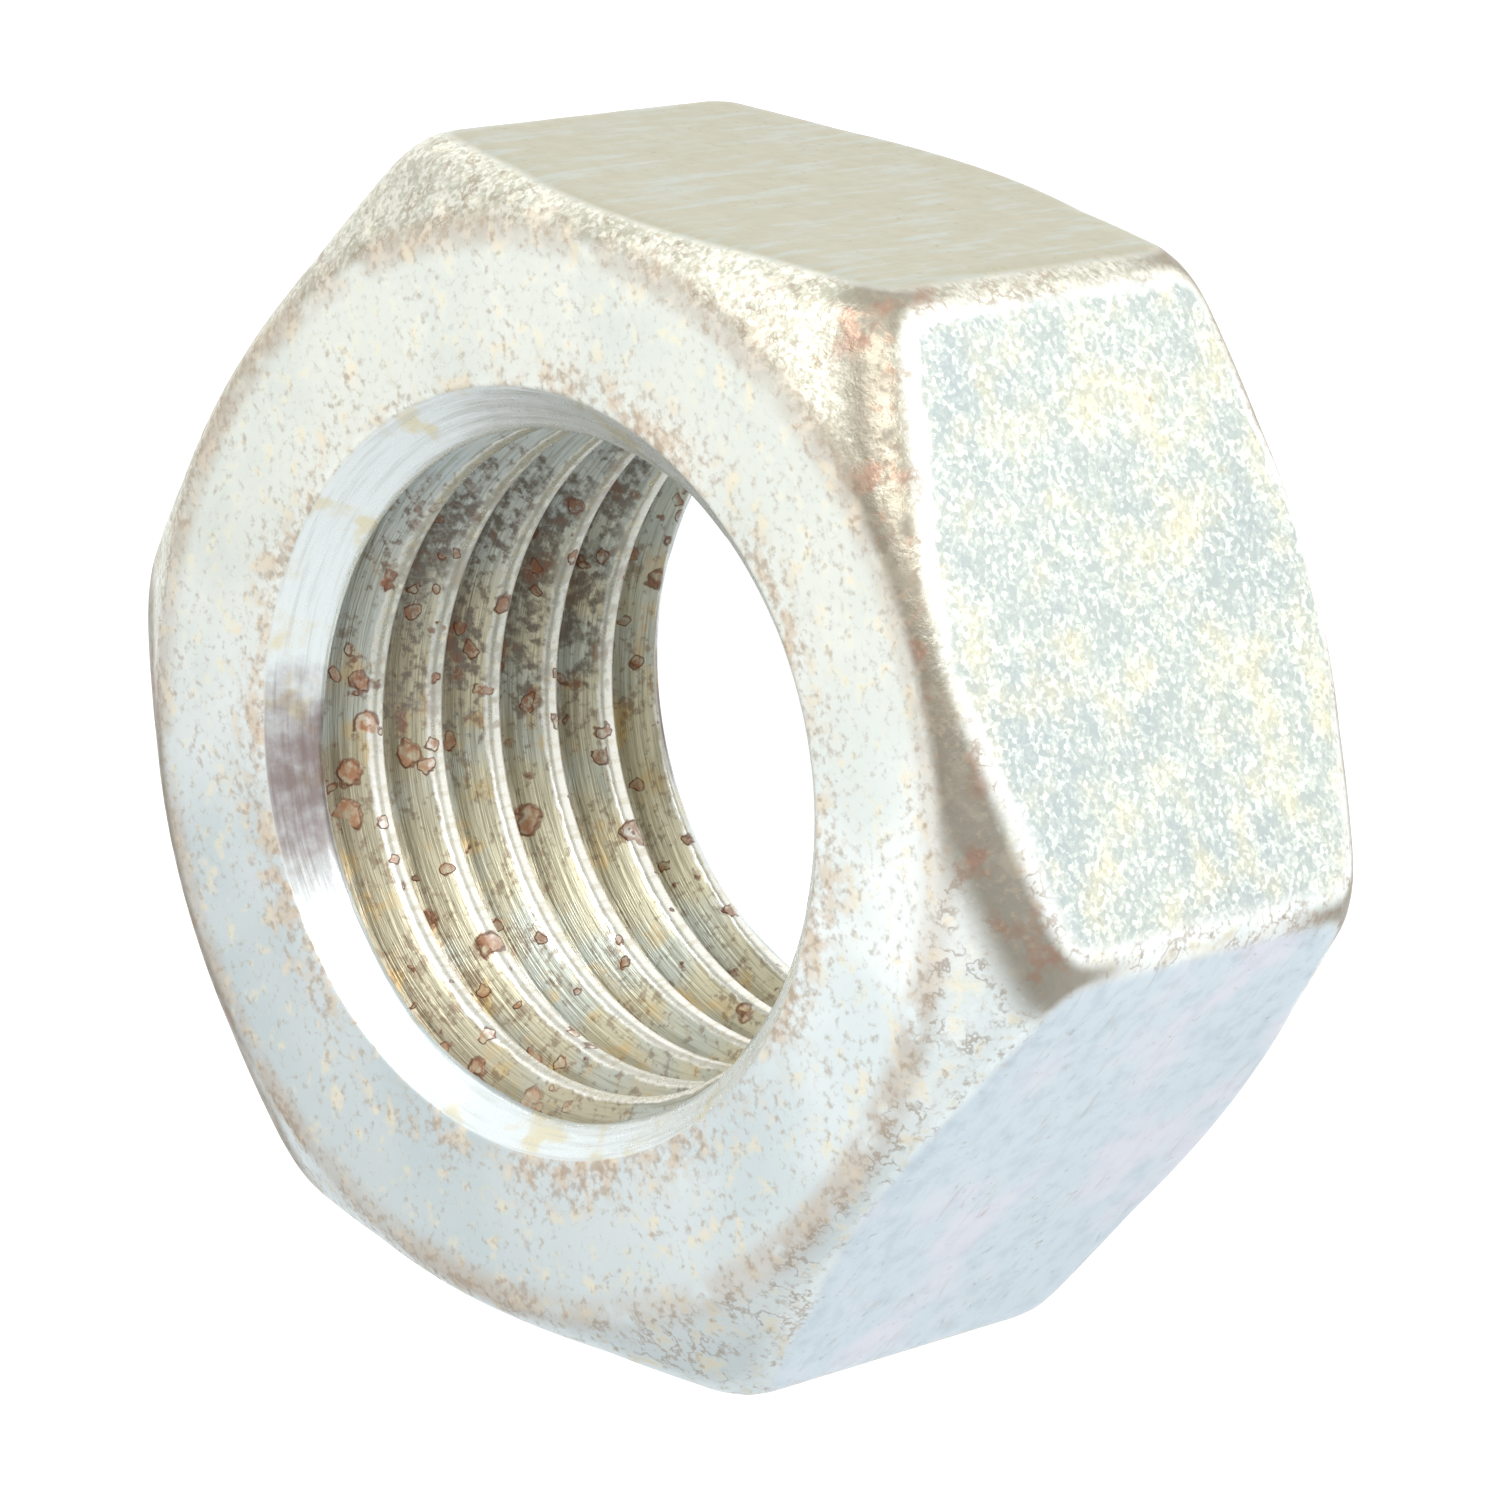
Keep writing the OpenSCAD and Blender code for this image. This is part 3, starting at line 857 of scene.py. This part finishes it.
# %% Floor
FLOOR_REACH = 2.0
FLOOR_GAP = 0.04 * MM
PAPER_GREY = 0.25
PAPER_ROUGHNESS = 0.9
PAPER_GLOW = 0.95
corners = [(x * FLOOR_REACH, y * FLOOR_REACH, -FLOOR_GAP) for x, y in ((-1, -1), (1, -1), (1, 1), (-1, 1))]
floor_mesh = bpy.data.meshes.new("studio_floor")
floor_mesh.from_pydata(corners, [], [(0, 1, 2, 3)])
floor = bpy.data.objects.new("studio_floor", floor_mesh)
bpy.context.scene.collection.objects.link(floor)
paper = bpy.data.materials.new("matt_white_paper")
paper.use_nodes = True
sheet = paper.node_tree.nodes["Principled BSDF"]
sheet.inputs["Base Color"].default_value = (PAPER_GREY, PAPER_GREY, PAPER_GREY, 1)
sheet.inputs["Roughness"].default_value = PAPER_ROUGHNESS
sheet.inputs["Emission Color"].default_value = (1.0, 1.0, 1.0, 1)
sheet.inputs["Emission Strength"].default_value = PAPER_GLOW
floor_mesh.materials.append(paper)
print("light table, metres across:", 2 * FLOOR_REACH)

# %% [markdown]
# ## Soft light
# A satin metal shows what it reflects, so the light is mostly an even white surround.
# Three soft disks add the shine. The key stands high on the +X side and lights the
# countersink. A small one hangs close in front: the nearer a lamp, the faster its light
# falls off, so the face and the front flat brighten towards it. A wide faint one behind
# keeps the far side of the face from going dull.

# %% Surround and lamps
SURROUND = 0.82
world = bpy.data.worlds.new("studio")
bpy.context.scene.world = world
world.use_nodes = True
world.node_tree.nodes["Background"].inputs["Color"].default_value = (1.0, 1.0, 1.0, 1)
world.node_tree.nodes["Background"].inputs["Strength"].default_value = SURROUND
bpy.context.scene.view_settings.view_transform = "Standard"
centre = (cad_low + cad_high) / 2


def soft_light(name, towards, distance, width, watts):
    """Hang a soft disk in metres and watts, in the given direction from the nut, facing it."""
    lamp_data = bpy.data.lights.new(name, "AREA")
    lamp_data.shape = "DISK"
    lamp_data.size = width
    lamp_data.energy = watts
    lamp = bpy.data.objects.new(name, lamp_data)
    away = Vector(towards).normalized()
    lamp.location = centre + away * distance
    lamp.rotation_mode = "QUATERNION"
    lamp.rotation_quaternion = away.to_track_quat("Z", "Y")
    bpy.context.scene.collection.objects.link(lamp)


soft_light("key", towards=(0.68, -0.44, 0.59), distance=0.60, width=0.24, watts=1.6)
soft_light("close front", towards=(0.38, -0.78, 0.52), distance=0.16, width=0.06, watts=0.10)
soft_light("sky behind", towards=(-0.35, 0.65, 0.67), distance=0.60, width=0.50, watts=0.20)

# %% [markdown]
# ## The camera
# The camera looks down on the nut from the front, about 45 degrees above the floor, and
# is rolled a little more than a quarter turn, so that the nut seems to stand on one of
# its corners. It is placed from the box of the nut: back from the middle by a fixed
# distance, then shifted by a millimetre to centre the outline.

# %% Camera
AZIMUTH = math.radians(-3.75)
ELEVATION = math.radians(45.3)
ROLL = math.radians(101.9)
DISTANCE = 335.0 * MM
LENS = 166.7
SENSOR = 36.0
SHIFT_RIGHT = 0.92 * MM
SHIFT_DOWN = 0.78 * MM
camera_data = bpy.data.cameras.new("camera")
camera_data.lens = LENS
camera_data.sensor_width = SENSOR
camera_data.clip_start = 0.01
camera = bpy.data.objects.new("camera", camera_data)
back = Vector((math.sin(AZIMUTH) * math.cos(ELEVATION), -math.cos(AZIMUTH) * math.cos(ELEVATION),
               math.sin(ELEVATION)))
level_right = Vector((math.cos(AZIMUTH), math.sin(AZIMUTH), 0))
level_up = back.cross(level_right)
right = level_right * math.cos(ROLL) - level_up * math.sin(ROLL)
up = level_up * math.cos(ROLL) + level_right * math.sin(ROLL)
stand = centre + right * SHIFT_RIGHT - up * SHIFT_DOWN + back * DISTANCE
camera.matrix_world = Matrix((
    (right.x, up.x, back.x, stand.x),
    (right.y, up.y, back.y, stand.y),
    (right.z, up.z, back.z, stand.z),
    (0, 0, 0, 1)))
bpy.context.scene.collection.objects.link(camera)
bpy.context.scene.camera = camera
field_width = SENSOR / LENS * DISTANCE
print("the view is", round(field_width / MM, 1), "mm wide at the nut")
